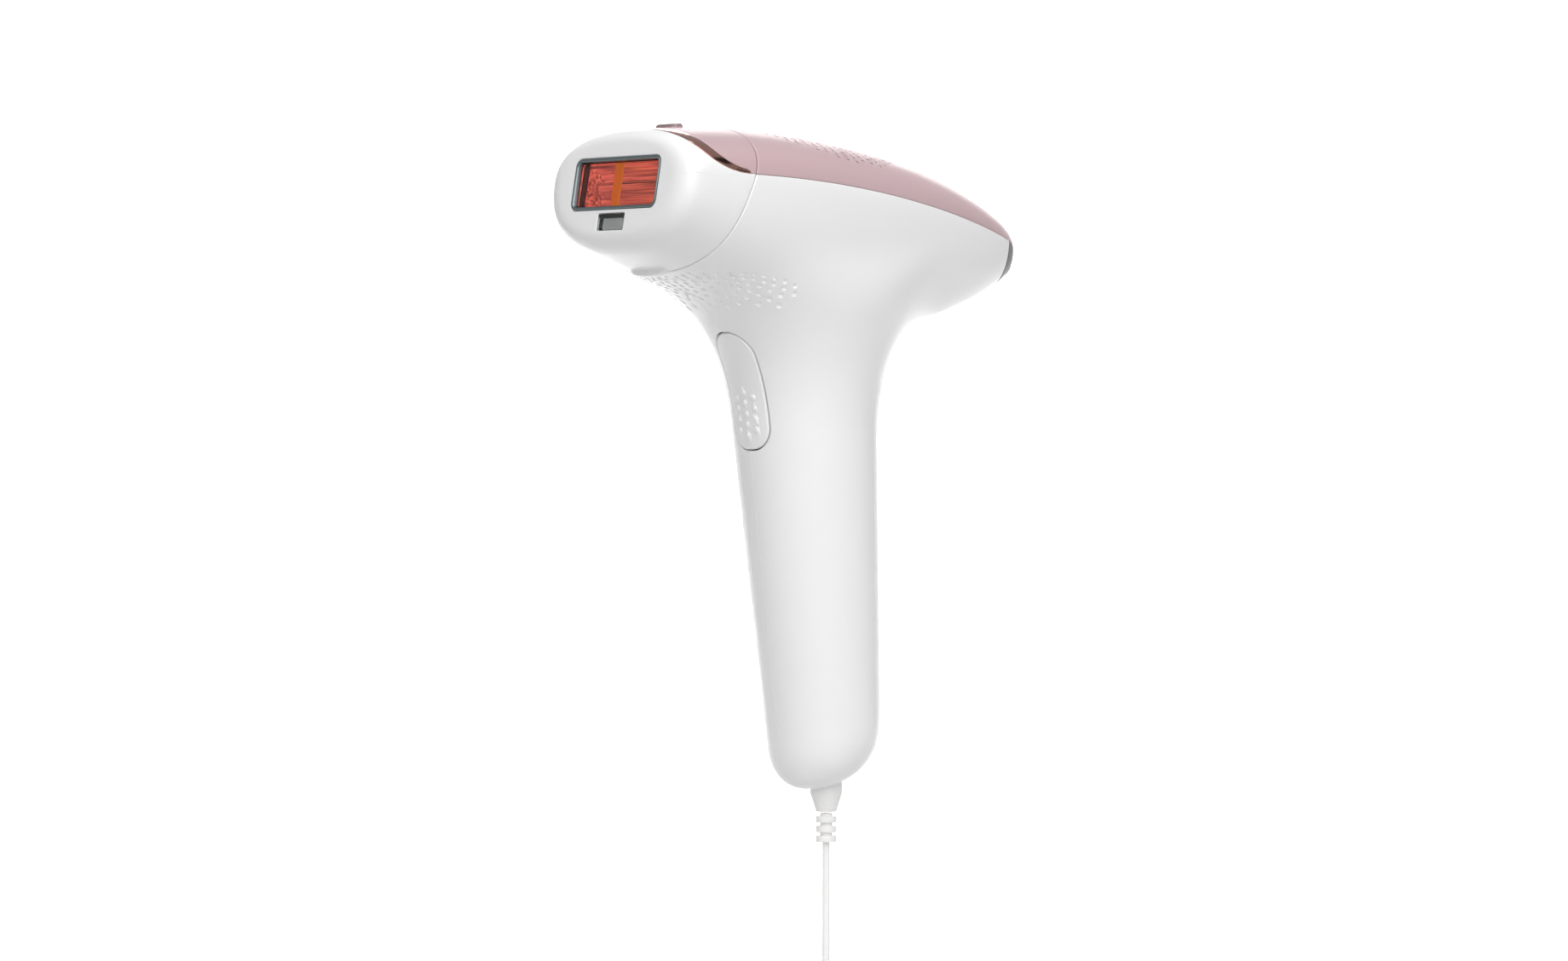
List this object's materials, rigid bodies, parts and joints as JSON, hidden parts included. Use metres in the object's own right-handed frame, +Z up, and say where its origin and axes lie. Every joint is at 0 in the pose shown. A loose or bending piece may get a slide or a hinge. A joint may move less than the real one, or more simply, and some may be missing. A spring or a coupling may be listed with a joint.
{
  "type": "light-based hair remover",
  "caption": "Pistol-shaped corded hair remover with a slide-on window attachment, a finger trigger and a power adapter.",
  "frame": {"origin": "on the handle's axis in the middle of the grip, where a hand holds it", "axes": "+Z up the handle to the head, -Y towards the light window, X across"},
  "size_m": [0.069, 0.1568, 0.289],
  "materials": {
    "gloss_white": "gloss, moulded",
    "pearl_pink": "pearl gloss paint",
    "rose_gold": "mirror rose gold plating",
    "dark_grey": "satin",
    "black_plastic": "matte",
    "pale_grey": "matte",
    "steel": "plain",
    "mirror_metal": "polished",
    "contact_gold": "plated",
    "clear_glass": "clear",
    "red_glass": "red filter glass",
    "circuit_green": "solder mask",
    "lead_red": "insulated wire",
    "cord_white": "soft matte"
  },
  "bodies": {
    "handset": {"shell_left": "gloss_white", "shell_right": "gloss_white", "top_cover": "pearl_pink", "rear_panel": "dark_grey", "power_switch": "black_plastic", "button_board": "circuit_green", "intensity_light_guide": "clear_glass", "trigger_pin": "steel", "trigger_bracket": "pale_grey", "trigger_switch": "black_plastic", "trigger_spring": "steel", "lamp_housing": "black_plastic", "reflector": "mirror_metal", "flash_lamp": "clear_glass", "lamp_cap_left": "steel", "lamp_cap_right": "steel", "filter_glass": "red_glass", "skin_sensor": "black_plastic", "front_bulkhead": "pale_grey", "front_screw_left": "steel", "front_screw_right": "steel", "contact_pins": "contact_gold", "fan_frame": "black_plastic", "air_duct": "pale_grey", "flash_capacitor": "black_plastic", "main_board": "circuit_green", "control_chip": "black_plastic", "igniter_coil": "dark_grey", "handle_frame": "pale_grey", "lamp_lead_left": "lead_red", "lamp_lead_right": "lead_red", "socket_lead": "lead_red", "power_socket": "black_plastic", "plug_barrel": "steel", "cord_plug": "cord_white", "plug_strain_relief": "cord_white", "power_cord_upper": "cord_white", "power_cord_lower": "cord_white", "cord_coil": "cord_white", "cord_tie": "pale_grey", "adapter_base": "gloss_white", "adapter_cover": "gloss_white", "adapter_pin_left": "steel", "adapter_pin_right": "steel", "adapter_board": "circuit_green", "adapter_transformer": "dark_grey", "adapter_strain_relief": "cord_white"},
    "attachment": {"attachment_shell": "gloss_white", "attachment_trim": "rose_gold", "attachment_cover": "pearl_pink", "attachment_frame": "pale_grey", "attachment_contacts": "contact_gold", "window_frame": "steel", "sensor_window": "clear_glass"},
    "trigger": {"flash_trigger": "gloss_white"},
    "switch_plunger": {"switch_plunger": "dark_grey"},
    "power_button": {"power_button": "pale_grey"},
    "fan_rotor": {"fan_rotor": "dark_grey"}
  },
  "joints": [
    {"name": "attachment_slide", "type": "slide", "parent": "handset", "child": "attachment", "axis": [0, -0.9848, 0.1736], "range_m": [0, 0.03]},
    {"name": "trigger_hinge", "type": "hinge", "parent": "handset", "child": "trigger", "pos_m": [0, -0.0253, 0.0555], "axis": [1, 0, 0], "range_deg": [0, 2], "stiffness_Nm_per_rad": 0.6, "springref_deg": -3.44},
    {"name": "switch_plunger_slide", "type": "slide", "parent": "handset", "child": "switch_plunger", "axis": [0, 1, 0], "range_m": [0, 0.0009]},
    {"name": "power_button_slide", "type": "slide", "parent": "handset", "child": "power_button", "axis": [0, -0.848, 0.5299], "range_m": [0, 0.0008], "stiffness_N_per_m": 300, "springref_m": -0.001},
    {"name": "fan_spin", "type": "hinge", "parent": "handset", "child": "fan_rotor", "pos_m": [0, 0.008, 0.093], "axis": [0, 1, 0], "continuous": true}
  ],
  "couplings": [
    {"joint": "switch_plunger_slide", "follows": "trigger_hinge", "m_per_rad": 0.0255}
  ]
}
